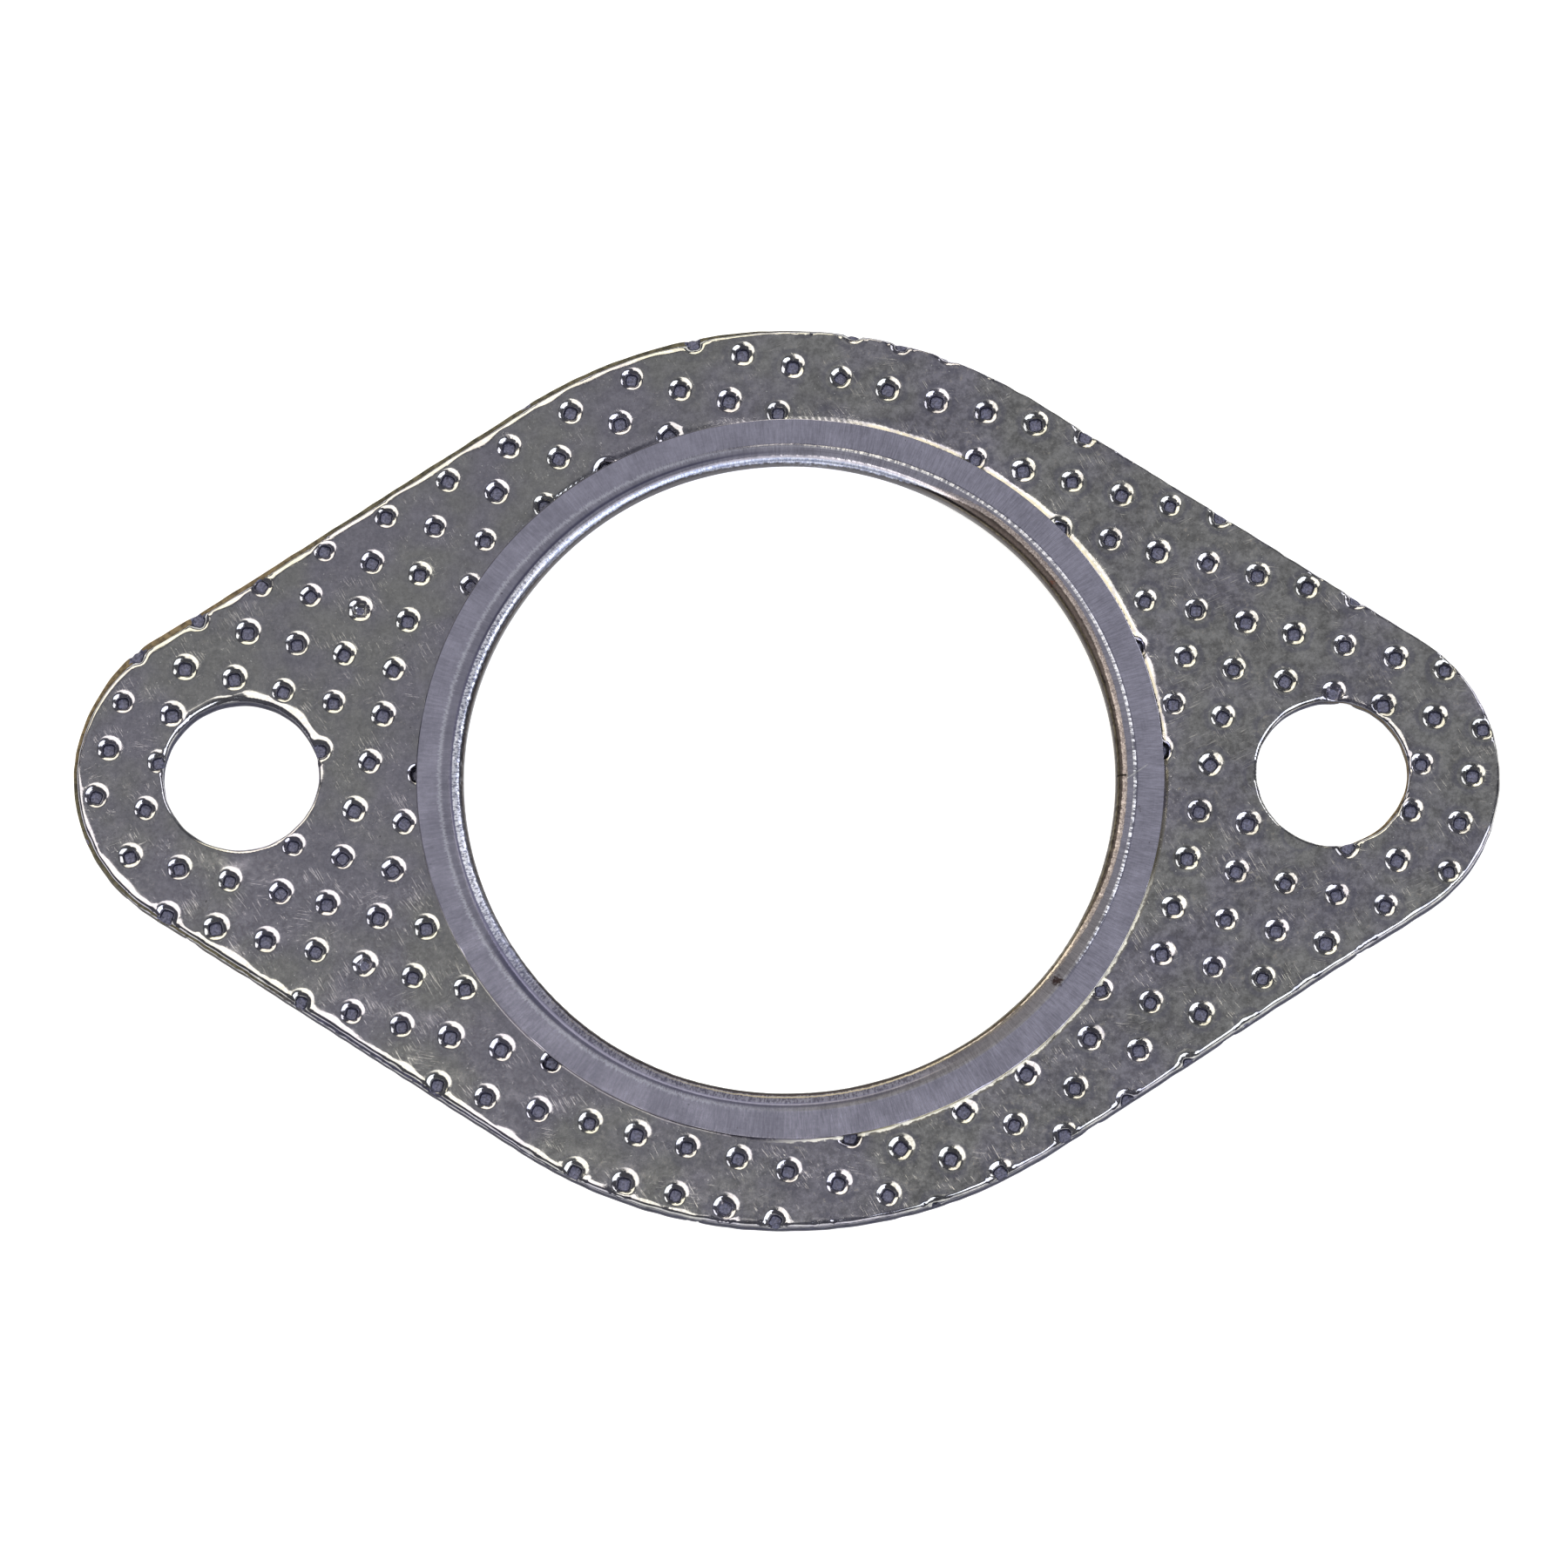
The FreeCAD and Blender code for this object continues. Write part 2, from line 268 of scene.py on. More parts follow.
class Funnels:
    """The funnels of one facing. Each is round at the face and turns square towards its throat."""

    def __init__(self, flipped, seed):
        rng = random.Random(seed)
        side = np.array([math.cos(LATTICE_TURN), math.sin(LATTICE_TURN)])
        up = np.array([-side[1], side[0]])
        self.placed = []
        for across in range(-LATTICE_ACROSS, LATTICE_ACROSS + 1):
            for along in range(-LATTICE_ALONG, LATTICE_ALONG + 1):
                spot = LATTICE_START + PITCH * (across * side + along * up)
                if flipped:
                    spot[1] = -spot[1]
                spot = spot + (rng.gauss(0, 0.06), rng.gauss(0, 0.06))
                turn = LATTICE_TURN + rng.gauss(0, 0.25)
                size = rng.uniform(0.92, 1.08)
                depth = rng.uniform(0.85, 1.15)
                shut = not flipped and min(math.dist(spot, place) for place in SHUT_NEAR) < 1.6
                if self.shows(spot):
                    self.placed.append(Funnel(spot, turn, size, depth, shut))
        radii, slopes = np.array(SLOPE_AT).T
        fine = np.linspace(radii[0], radii[-1], 200)
        steep = np.interp(-fine, -radii, slopes)
        falls = np.concatenate([[0], np.cumsum((steep[1:] + steep[:-1]) / 2 * -np.diff(fine))])
        self.profile = fine, falls

    @staticmethod
    def shows(spot):
        """True where a funnel is seen, whole or cut by an edge."""
        # Those just outside the ring are pressed flat at the top.
        pressed_flat = spot[1] > 26.0 and 1.0 < spot[0] < 14.0
        off_ring = math.hypot(*spot) >= FLANGE_RADIUS + (0.3 if pressed_flat else -0.42)
        on_sheet = outline_depth(spot[None])[0] >= -0.9
        off_holes = min(math.dist(spot, hole) for hole in (LEFT_HOLE, RIGHT_HOLE)) >= HOLE_RADIUS
        return off_ring and on_sheet and off_holes

    @staticmethod
    def squareness(angle, radius, turn):
        """Share by which the radius shrinks on the way from a circle to a rounded square."""
        inner = np.clip((0.95 - radius) / 0.4, 0, 1)
        square = (np.abs(np.cos(angle - turn)) ** 4 + np.abs(np.sin(angle - turn)) ** 4) ** 0.25
        return 1 - inner * (1 - square)

    def level(self, points, funnel):
        """The distance from the funnel's centre, bent so that equal levels turn square."""
        away = (points - funnel.spot) / funnel.size
        radius = np.hypot(away[:, 0], away[:, 1])
        return radius * self.squareness(np.arctan2(away[:, 1], away[:, 0]), radius, funnel.turn)

    def ring(self, funnel, level):
        """Points round a funnel at one level."""
        halfway = 0.5 * (level < 1)
        angles = (np.arange(FUNNEL_SIDES) + halfway) * 2 * math.pi / FUNNEL_SIDES + funnel.turn
        radius = np.full(FUNNEL_SIDES, level)
        for _ in range(4):
            radius = level / self.squareness(angles, radius, funnel.turn)
        return funnel.spot + funnel.size * radius[:, None] * np.c_[np.cos(angles), np.sin(angles)]

    def near(self, points):
        """For every funnel, the points that it reaches."""
        order = np.argsort(points[:, 0])
        sorted_x = points[order, 0]
        for funnel in self.placed:
            reach = FUNNEL_REACH * funnel.size + 0.05
            first = np.searchsorted(sorted_x, funnel.spot[0] - reach)
            last = np.searchsorted(sorted_x, funnel.spot[0] + reach)
            found = order[first:last]
            found = found[np.abs(points[found, 1] - funnel.spot[1]) < reach]
            if len(found):
                yield funnel, found

    def fall(self, points):
        """How far the funnels take the sheet down at each point."""
        total = np.zeros(len(points))
        for funnel, found in self.near(points):
            level = self.level(points[found], funnel)
            total[found] += funnel.depth * np.interp(-level, -self.profile[0], self.profile[1])
        return total

    def within(self, points, level, shut_too):
        """True where a point lies below the level of a funnel."""
        below = np.zeros(len(points), bool)
        for funnel, found in self.near(points):
            if shut_too or not funnel.shut:
                below[found] |= self.level(points[found], funnel) < level
        return below


# Meshes


def flange_slip(points):
    """How far the flange of the ring reaches out past its plain radius."""
    east = points[:, 0] / np.hypot(points[:, 0], points[:, 1])
    return FLANGE_SHIFT * east + FLANGE_GROWTH * (1 - east ** 2)


def ring_dip(points):
    """How far the facing is pressed down beside the fire ring and under it."""
    away = np.hypot(points[:, 0], points[:, 1]) - FLANGE_RADIUS - flange_slip(points)
    width = 0.62 * (1 + 0.35 * waves(points, 40, 5))
    share = by_angle(points, (
        (0, 1), (50, 0.9), (62, 0.6), (84, 0.6), (94, 0.3), (106, 1.2), (133, 1.2), (141, 0.3), (153, 0.7),
        (165, 0.3), (262, 0.3), (272, 0.6), (325, 0.6), (334, 0.4),
    ))
    return 0.14 * share * np.clip(1 - away / width, 0, 1) ** 1.6


def drawn_sheet(depth):
    """The thickness of the sheet, which is drawn thin where a funnel is deep."""
    return np.maximum(SHEET - 0.35 * depth, 0.1)


def triangulate(loops, scattered):
    """Joins the closed loops and the loose points in the plane and returns its corners and triangles."""
    points, edges = [], []
    for loop in loops:
        start = len(points)
        points.extend(Vector(p) for p in loop)
        edges.extend((start + i, start + (i + 1) % len(loop)) for i in range(len(loop)))
    points.extend(Vector(p) for p in scattered)
    corners, _, faces, *_ = delaunay_2d_cdt(points, edges, [], 0, 1e-6)
    return np.array([tuple(c) for c in corners]), np.array([f for f in faces if len(f) == 3])


def add_object(name, data):
    """A new object in the scene."""
    thing = bpy.data.objects.new(name, data)
    bpy.context.scene.collection.objects.link(thing)
    return thing


def mesh_object(name, corners, faces, groups, materials):
    """Makes a smooth mesh object whose edges are sharp where two groups of faces meet."""
    mesh = bpy.data.meshes.new(name)
    mesh.from_pydata((np.asarray(corners) * MM).tolist(), [], faces)
    mesh.validate()
    sides = {}
    for polygon in mesh.polygons:
        polygon.use_smooth = True
        for key in polygon.edge_keys:
            sides.setdefault(key, set()).add(groups[polygon.index])
    sharp = mesh.attributes.new("sharp_edge", "BOOLEAN", "EDGE")
    sharp.data.foreach_set("value", [len(sides[edge.key]) > 1 for edge in mesh.edges])
    for material in materials:
        mesh.materials.append(material)
    return add_object(name, mesh)


def boundary(faces):
    """The directed edges that only one triangle has."""
    directed = {(int(a), int(b)) for f in faces for a, b in ((f[0], f[1]), (f[1], f[2]), (f[2], f[0]))}
    return [edge for edge in directed if (edge[1], edge[0]) not in directed]


def inside(points, edges, gap=0.0):
    """True where a point lies more than the gap inside every edge."""
    return np.all([edge.depth(points) > gap for edge in edges], axis=0)


def make_facing(name, edges, funnels, flipped, materials):
    """A punched sheet as a closed mesh. The lower one is made upside down and then turned over."""
    loops = [edge.loop(0.0, EDGE_STEP if edge.roll else 0.8) for edge in edges]
    rolled = [edge for edge in edges if edge.roll]
    strips = [edge.loop(inset, EDGE_STEP) for edge in rolled for inset in EDGE_INSETS]
    for gap in FLANGE_GAPS:
        ring = circle_points((0.0, 0.0), FLANGE_RADIUS + gap, FLANGE_STEP)[0]
        strips.append(ring * (1 + flange_slip(ring) / FLANGE_RADIUS)[:, None])
    strips = np.concatenate(strips)
    strips = strips[inside(strips, edges, CLEAR_OF_EDGE)]
    strips = strips[~funnels.within(strips, FUNNEL_RINGS[0] + 0.06, True)]
    closed, loose = [], [strips]
    for funnel in funnels.placed:
        for level in FUNNEL_RINGS:
            ring = funnels.ring(funnel, level)
            if level == THROAT:
                closed.append(ring)
            else:
                loose.append(ring)
        if funnel.shut:
            loose.append(funnel.spot[None])
    loose = np.concatenate(loose)
    corners, faces = triangulate(loops + closed, loose[inside(loose, edges, CLEAR_OF_EDGE)])
    middles = corners[faces].mean(1)
    faces = faces[inside(middles, edges) & ~funnels.within(middles, THROAT - 0.003, False)]
    used, faces = np.unique(faces, return_inverse=True)
    faces = faces.reshape(-1, 3)
    corners = corners[used]
    depth = funnels.fall(corners)
    fall = depth + ring_dip(corners) + left_hole_ridge(corners)
    for edge in edges:
        fall += edge.fall(corners, edge.depth(corners))
    top = FACE - fall
    bottom = top - drawn_sheet(depth)
    if flipped:
        top, bottom = 2 * MIDDLE - top, 2 * MIDDLE - bottom
        faces = faces[:, ::-1]
    count = len(corners)
    shown = faces.tolist()
    hidden = (faces[:, ::-1] + count).tolist()
    walls = [(b, a, a + count, b + count) for a, b in boundary(faces)]
    groups = [0] * len(shown) + [1] * len(hidden) + [2] * len(walls)
    corners = np.concatenate([np.c_[corners, top], np.c_[corners, bottom]])
    thing = mesh_object(name, corners, shown + hidden + walls, groups, materials)
    thing.data.polygons.foreach_set("material_index", [group // 2 for group in groups])
    return thing


def filler_side(edges, outlines, funnels, flipped):
    """One face of the filler: its corners, their heights, its triangles, and which lie in a pocket."""
    loose = [circle_points((0.0, 0.0), FLANGE_RADIUS + gap, 0.8)[0] for gap in (-0.1, 0.3, 0.9)]
    for funnel in funnels.placed:
        for level in FILLER_RINGS:
            loose.append(funnels.ring(funnel, level))
        loose.append(funnel.spot[None])
    loose = np.concatenate(loose)
    corners, faces = triangulate(outlines, loose[inside(loose, edges, 0.12)])
    faces = faces[inside(corners[faces].mean(1), edges)]
    depth = funnels.fall(corners)
    sheet_under = FACE - depth - ring_dip(corners) - left_hole_ridge(corners) - drawn_sheet(depth)
    height = sheet_under - 0.01
    pocket = np.zeros(len(corners), bool)
    for funnel, found in funnels.near(corners):
        level = funnels.level(corners[found], funnel)
        pocket[found] |= level < POCKET_REACH
        swollen = np.where(level < MESA_REACH, MESA_HEIGHT, MOAT_HEIGHT)
        height[found] = np.where(level < MOAT_REACH, swollen, height[found])
    height = np.maximum(height, MIDDLE + 0.07)
    height += np.where(pocket, 0.03 * waves(corners, 5, 0.4), 0)
    pressed = pocket[faces].any(1)
    if flipped:
        height = 2 * MIDDLE - height
        faces = faces[:, ::-1]
    return corners, height, faces, pressed


def make_filler(name, edges, upper, lower, materials):
    """The soft sheet, pressed in under every funnel, with a torn edge."""
    loops = [edge.loop(0.0, EDGE_STEP) for edge in edges]
    outlines = loops + [edge.loop(0.35, 0.5) for edge in edges]
    upper_points, upper_heights, upper_faces, upper_pressed = filler_side(edges, outlines, upper, False)
    lower_points, lower_heights, lower_faces, lower_pressed = filler_side(edges, outlines, lower, True)
    corners = [np.c_[upper_points, upper_heights], np.c_[lower_points, lower_heights]]
    lower_start = len(upper_points)
    count = lower_start + len(lower_points)
    faces = upper_faces.tolist() + (lower_faces + lower_start).tolist()
    groups = [0] * len(upper_faces) + [1] * len(lower_faces)
    slots = np.concatenate([upper_pressed, lower_pressed]).astype(int).tolist()
    rng = np.random.default_rng(3)
    start = 0
    for loop, edge in zip(loops, edges):
        size = len(loop)
        here = start + np.arange(size)
        high, low = upper_heights[here], lower_heights[here]
        is_hole = edge.centre is not None
        out = loop - (edge.centre if is_hole else (0.0, 0.0))
        out /= np.linalg.norm(out, axis=1)[:, None]
        rows = [here]
        for step in range(1, WALL_STEPS):
            share = step / WALL_STEPS
            ragged = rng.normal(0, 0.03, size) - 0.04
            if is_hole:
                ragged = -ragged
            corners.append(np.c_[loop + out * ragged[:, None], high + share * (low - high)])
            rows.append(count + np.arange(size))
            count += size
        rows.append(lower_start + here)
        for above, below in zip(rows, rows[1:]):
            band = np.c_[np.roll(above, -1), above, below, np.roll(below, -1)]
            faces += (band[:, ::-1] if is_hole else band).tolist()
        start += size
    walls = len(faces) - len(groups)
    groups += [2] * walls
    slots += [0] * walls
    thing = mesh_object(name, np.concatenate(corners), faces, groups, materials)
    thing.data.polygons.foreach_set("material_index", slots)
    return thing


def ring_lumps(length, seed):
    """A smooth random value round the ring with the given spacing."""
    steps = int(2 * math.pi * BORE_RADIUS / length)
    knots = np.random.default_rng(seed).normal(0, 1, steps)
    spot = np.arange(RING_SIDES) * steps / RING_SIDES
    first = spot.astype(int)
    share = (1 - np.cos(np.pi * (spot - first))) / 2
    return knots[first] * (1 - share) + knots[(first + 1) % steps] * share


def near_angle(centre, width):
    """Round the ring, 1 at the given angle and 0 from the given width on, in degrees."""
    away = np.abs((np.degrees(RING_ANGLES) - centre + 180) % 360 - 180)
    return np.clip(1 - away / width, 0, 1)


def make_ring(name, material):
    """The fire ring, turned from its cross-section, with wrinkles where the strip was rolled."""
    rim = [
        (FLANGE_RADIUS, FACE - 0.12),
        (FLANGE_RADIUS, LAND - 0.02),
        (FLANGE_RADIUS - 0.012, LAND - 0.003),
        (FLANGE_RADIUS - 0.04, LAND),
        (FLANGE_RADIUS - 0.09, LAND),
    ]
    land = [(28.4, LAND), (27.56, LAND)]
    rise = [
        (27.47, LAND + 0.002), (27.43, LAND + 0.01), (27.345, LAND + 0.03), (27.26, BAND - 0.01),
        (27.22, BAND - 0.002),
    ]
    band = [(27.14, BAND), (26.82, BAND), (26.75, BAND)]
    flange = rim + land + rise + band
    rise_start = len(rim) + len(land)
    rise_columns = range(rise_start, rise_start + len(rise))
    turns = [math.radians(90 * (step / 13) ** 1.6) for step in range(14)]
    middle_radius, middle_height = BORE_RADIUS + ROLL_RADIUS, HEIGHT - ROLL_RADIUS
    bend = [
        (middle_radius - ROLL_RADIUS * math.sin(turn), middle_height + ROLL_RADIUS * math.cos(turn))
        for turn in turns
    ]
    bend_columns = list(enumerate(turns, len(flange)))
    upper = flange + bend
    under = rim[:3] + [land[1], rise[3]] + bend[::4]
    lower = [(r, 2 * MIDDLE - z) for r, z in reversed(under)]
    inner = [
        (BORE_RADIUS + RING_SHEET, middle_height),
        (BORE_RADIUS + RING_SHEET + 0.25, HEIGHT - RING_SHEET - 0.16),
        (middle_radius + 0.1, HEIGHT - RING_SHEET - 0.05),
        (27.3, LAND - RING_SHEET),
    ]
    inner_low = [(r, 2 * MIDDLE - z) for r, z in reversed(inner)]
    section = np.array(upper + lower + inner_low + inner)
    width = len(section)
    grid_r = np.repeat(section[:, 0][None], RING_SIDES, 0)
    grid_z = np.repeat(section[:, 1][None], RING_SIDES, 0)

    # The strip is bent most sharply at the bottom and the top.
    sharpness = 1.5 + 0.5 * near_angle(270, 60) + 0.5 * np.minimum(2 * near_angle(90, 60), 1)
    for column, turn in bend_columns:
        grid_r[:, column] = middle_radius - ROLL_RADIUS * math.sin(turn) ** (1 / sharpness)
        grid_z[:, column] = middle_height + ROLL_RADIUS * max(math.cos(turn), 0.0) ** (1 / sharpness)
    crumple = np.minimum(0.25 + 1.1 * near_angle(200, 60) + 0.9 * near_angle(350, 45), 1.2)
    for column, turn in bend_columns:
        dents = 0.024 * ring_lumps(0.4, 100) + 0.012 * ring_lumps(0.28, 101 + column // 2)
        push = crumple * np.abs(dents) + 0.012 * ring_lumps(3.0, 99)
        strength = math.sin(2 * turn) ** 0.7 if 0 < turn < 1.57 else 0.0
        grid_r[:, column] += push * strength * math.sin(turn)
        grid_z[:, column] -= push * strength * math.cos(turn)
    # The step wanders a little, and on the left there is none.
    for column in rise_columns:
        fine = (0.005 + 0.015 * near_angle(40, 70)) * ring_lumps(0.24, 200)
        grid_r[:, column] += fine + 0.01 * ring_lumps(2.5, 201)
    filled = np.interp(np.degrees(RING_ANGLES), (95, 140, 290, 330), (0.0, 1.0, 1.0, 0.0))
    for column in range(1, rise_columns.stop):
        grid_z[:, column] += filled * (BAND - max(section[column][1], LAND))
    # The flange lies off centre, towards the right.
    slip = flange_slip(np.c_[np.cos(RING_ANGLES), np.sin(RING_ANGLES)]) - np.abs(0.02 * ring_lumps(1.4, 400))
    grid_r[:, :len(rim)] += slip[:, None]
    # The roll reaches less far into the gas passage at the top and further on the left.
    top_slip = 0.2 * near_angle(85, 60)
    grid_r += top_slip[:, None] * np.clip((SLIP_FROM - grid_r) / SLIP_WIDTH, 0, 1)
    left = np.clip((-np.cos(RING_ANGLES) - 0.3) / 0.75, 0, 1)
    left_slip = BORE_SLIP * left * left * (3 - 2 * left)
    grid_r -= left_slip[:, None] * np.clip((SLIP_FROM - grid_r) / SLIP_WIDTH, 0, 1)
    grid_z = np.minimum(grid_z, HEIGHT)

    x = grid_r * np.cos(RING_ANGLES)[:, None]
    y = grid_r * np.sin(RING_ANGLES)[:, None]
    corners = np.stack([x, y, grid_z], -1).reshape(-1, 3)
    shown = len(upper) + len(lower) - 1
    faces, groups = [], []
    for i in range(RING_SIDES):
        j = (i + 1) % RING_SIDES
        for k in range(width):
            n = (k + 1) % width
            faces.append((i * width + k, j * width + k, j * width + n, i * width + n))
            groups.append(0 if k < shown else 1)
    return mesh_object(name, corners, faces, groups, [material])


# Materials


class Shader:
    """A node material or world with short ways to add and join its nodes."""

    def __init__(self, owner):
        owner.use_nodes = True
        self.tree = owner.node_tree
        self.tree.nodes.clear()

    def add(self, kind, settings=None, **inputs):
        """A node with these settings, and these values or sockets put into its inputs."""
        node = self.tree.nodes.new(kind)
        for key, value in (settings or {}).items():
            setattr(node, key, value)
        for key, value in inputs.items():
            self.put(node.inputs[key.replace("_", " ")], value)
        return node

    def put(self, socket, value):
        """Joins another socket to this one, or sets its value. A colour is given without its alpha."""
        if isinstance(value, bpy.types.NodeSocket):
            self.tree.links.new(value, socket)
        else:
            socket.default_value = (*value, 1.0) if socket.type == "RGBA" else value

    def operate(self, kind, operation, *values):
        """The outputs of a node that works on these values."""
        node = self.add(kind, {"operation": operation})
        for socket, value in zip(node.inputs, values):
            self.put(socket, value)
        return node.outputs

    def math(self, operation, *values):
        return self.operate("ShaderNodeMath", operation, *values)[0]

    def vector(self, operation, *values):
        return self.operate("ShaderNodeVectorMath", operation, *values)

    def times(self, first, *others):
        for other in others:
            first = self.math("MULTIPLY", first, other)
        return first

    def plus(self, first, *others):
        for other in others:
            first = self.math("ADD", first, other)
        return first

    def minus(self, first, second):
        return self.math("SUBTRACT", first, second)

    def most(self, first, *others):
        for other in others:
            first = self.math("MAXIMUM", first, other)
        return first

    def length(self, across, up):
        return self.math("SQRT", self.plus(self.times(across, across), self.times(up, up)))

    def ramp(self, value, low, high, start=0.0, stop=1.0):
        """Goes smoothly from start to stop while the value goes from low to high."""
        node = self.add("ShaderNodeMapRange", {"interpolation_type": "SMOOTHSTEP"})
        for socket, number in zip(node.inputs, (value, low, high, start, stop)):
            self.put(socket, number)
        return node.outputs[0]

    def band(self, value, low, full, leave, gone):
        """1 from full to leave, and 0 below low and above gone."""
        return self.times(self.ramp(value, low, full), self.ramp(value, gone, leave))

    def mix(self, share, first, second, blend="MIX"):
        """The first colour, with this share of the second."""
        node = self.add("ShaderNodeMix", {"data_type": "RGBA", "blend_type": blend})
        self.put(node.inputs[0], share)
        self.put(node.inputs[6], first)
        self.put(node.inputs[7], second)
        return node.outputs[2]

    def coat(self, base, paint, *shares):
        """The base with a paint over it, by the product of the shares."""
        return self.mix(self.times(*shares), base, paint)

    def brighten(self, base, level):
        """The colour times a level."""
        grey = self.add("ShaderNodeCombineColor", Red=level, Green=level, Blue=level).outputs[0]
        return self.mix(1.0, base, grey, "MULTIPLY")

    def place(self, scale=(1.0, 1.0, 1.0), turn=0.0):
        """The place on the object in millimetres, turned about Z and then scaled."""
        source = self.add("ShaderNodeTexCoord").outputs["Object"]
        turned = self.add("ShaderNodeVectorRotate", Vector=source, Angle=turn).outputs[0]
        return self.scaled(turned, tuple(s / MM for s in scale))

    def scaled(self, source, scale):
        return self.vector("MULTIPLY", source, scale)[0]

    def parts(self, source):
        """The X, Y and Z of a place."""
        return tuple(self.add("ShaderNodeSeparateXYZ", Vector=source).outputs)

    def noise(self, place, scale=1.0, detail=3.0, rough=0.5):
        node = self.add("ShaderNodeTexNoise", Vector=place, Scale=scale, Detail=detail, Roughness=rough)
        return node.outputs["Fac"]

    def bump(self, height, strength, distance):
        node = self.add("ShaderNodeBump", Height=height, Strength=strength, Distance=distance * MM)
        return node.outputs[0]

    def finish(self, **inputs):
        """Ends the material in a Principled shader."""
        shade = self.add("ShaderNodeBsdfPrincipled", **inputs)
        out = self.add("ShaderNodeOutputMaterial")
        self.tree.links.new(shade.outputs[0], out.inputs["Surface"])


def start_material(name):
    """A new material, its shader and the place on the object."""
    material = bpy.data.materials.new(name)
    s = Shader(material)
    return material, s, s.place()


def from_funnel(s, spot):
    """The distance from the nearest point of the lattice of funnels."""
    moved = s.vector("SUBTRACT", spot, (*LATTICE_START, 0))[0]
    turned = s.add("ShaderNodeVectorRotate", Vector=moved, Angle=-LATTICE_TURN).outputs[0]
    cell = s.parts(s.scaled(turned, (1 / PITCH, 1 / PITCH, 0)))
    across, up = (s.minus(s.math("FRACT", s.plus(part, 0.5)), 0.5) for part in cell[:2])
    return s.times(PITCH, s.length(across, up))


def facing_material():
    """Dull rolled sheet: mottled, with groups of short scratches, scuffs, bright specks and dark pits,
    painted shade round the funnels and painted highlights beside the ring.
    """
    material, s, spot = start_material("facing_steel")
    x, y, _ = s.parts(spot)
    radius = s.length(x, y)
    clouds = s.noise(spot, 0.3, 4, 0.6)
    mottle = s.noise(spot, 1.1, 5, 0.65)
    grain = s.noise(spot, 4, 4, 0.7)
    tint = s.noise(spot, 0.12, 3)
    marks = 0
    for degrees, length, group, low in SCRATCHES:
        lines = s.noise(s.place((1 / length, 12, 1), math.radians(degrees)), 1, 3, 0.6)
        where = s.noise(s.scaled(spot, (group, group, degrees)), 1, 3, 0.6)
        marks = s.most(marks, s.times(s.ramp(lines, 0.58, 0.7), s.ramp(where, low, low + 0.09)))
    scuff = s.ramp(s.noise(spot, 2.2, 6, 0.75), 0.56, 0.68)
    scuff = s.times(scuff, s.ramp(s.noise(spot, 0.4, 3), 0.46, 0.58))
    speck = s.ramp(s.noise(spot, 5, 1), 0.74, 0.8)
    pit = s.ramp(s.noise(s.scaled(spot, (3.1, 3.1, 1)), 1, 1), 0.78, 0.83)
    # The right side is more worn than the left.
    worn = s.ramp(x, -25, 20, 0.3, 1)
    blotches = s.plus(
        s.ramp(mottle, 0.38, 0.62, -0.2, 0.17),
        s.ramp(clouds, 0.38, 0.62, -0.1, 0.1),
        s.ramp(grain, 0.36, 0.64, -0.08, 0.08),
    )
    level = s.plus(1, s.times(worn, blotches), s.ramp(grain, 0.3, 0.7, -0.08, 0.08))
    base = s.mix(s.ramp(tint, 0.4, 0.6), (0.365, 0.365, 0.362), (0.355, 0.345, 0.4))
    base = s.brighten(base, level)
    # Painted highlight: the sheet is cream where it dips towards the ring on the right.
    lip_highlight = s.times(s.ramp(radius, FLANGE_RADIUS + 0.62, FLANGE_RADIUS + 0.45), s.ramp(x, 3, 8))
    cream_highlight = s.mix(s.ramp(y, -4, 0), (0.4, 0.38, 0.34), (0.29, 0.27, 0.215))
    base = s.coat(base, cream_highlight, lip_highlight, s.ramp(y, 0, 4, 1, 0.85))
    # Painted highlight: pale and not metallic beside the ring at the lower right, where the dip catches the
    # light.
    ragged = s.plus(radius, s.ramp(mottle, 0.3, 0.7, -0.12, 0.12))
    pale_lip_highlight = s.times(
        s.ramp(ragged, FLANGE_RADIUS + 0.48, FLANGE_RADIUS + 0.36),
        s.ramp(y, -7, -12),
        s.ramp(x, -3, 3),
    )
    base = s.coat(base, (1, 0.97, 0.86), pale_lip_highlight)
    # Painted shade: it is darker round each funnel.
    away = from_funnel(s, spot)
    funnel_shade = s.ramp(s.plus(away, s.ramp(mottle, 0.3, 0.7, -0.2, 0.2)), 1.7, 1.3)
    funnel_shade = s.times(funnel_shade, s.ramp(away, 1.08, 1.2), worn, 0.42)
    base = s.coat(base, (0.2, 0.2, 0.27), funnel_shade)
    base = s.coat(base, (0.62, 0.57, 0.5), scuff, worn, 0.8)
    base = s.coat(base, (0.85, 0.82, 0.76), marks, worn, worn, 0.9)
    base = s.coat(base, (0.95, 0.95, 0.92), speck, 0.7)
    base = s.coat(base, (0.06, 0.055, 0.06), pit, 0.75)
    height = s.plus(s.times(marks, 0.4), s.times(mottle, 0.6), s.times(s.noise(spot, 0.5, 2), worn, 1.2))
    s.finish(
        Base_Color=base,
        Metallic=s.minus(1, pale_lip_highlight),
        Roughness=s.ramp(mottle, 0.3, 0.7, 0.08, 0.125),
        Normal=s.bump(height, 0.3, 0.015),
    )
    return material


def sheared_material():
    """The cut edges of the sheets, dark and rough: dull cut steel, darkened further as painted shade on the
    side walls.
    """
    material, s, spot = start_material("sheared_steel")
    grain = s.noise(s.scaled(spot, (3, 3, 1)), 1, 4, 0.7)
    # Near black: partly the dull cut steel, partly painted shade.
    base = s.mix(s.ramp(grain, 0.35, 0.7), (0.01, 0.01, 0.03), (0.045, 0.045, 0.085))
    s.finish(Base_Color=base, Metallic=0.3, Roughness=0.5)
    return material


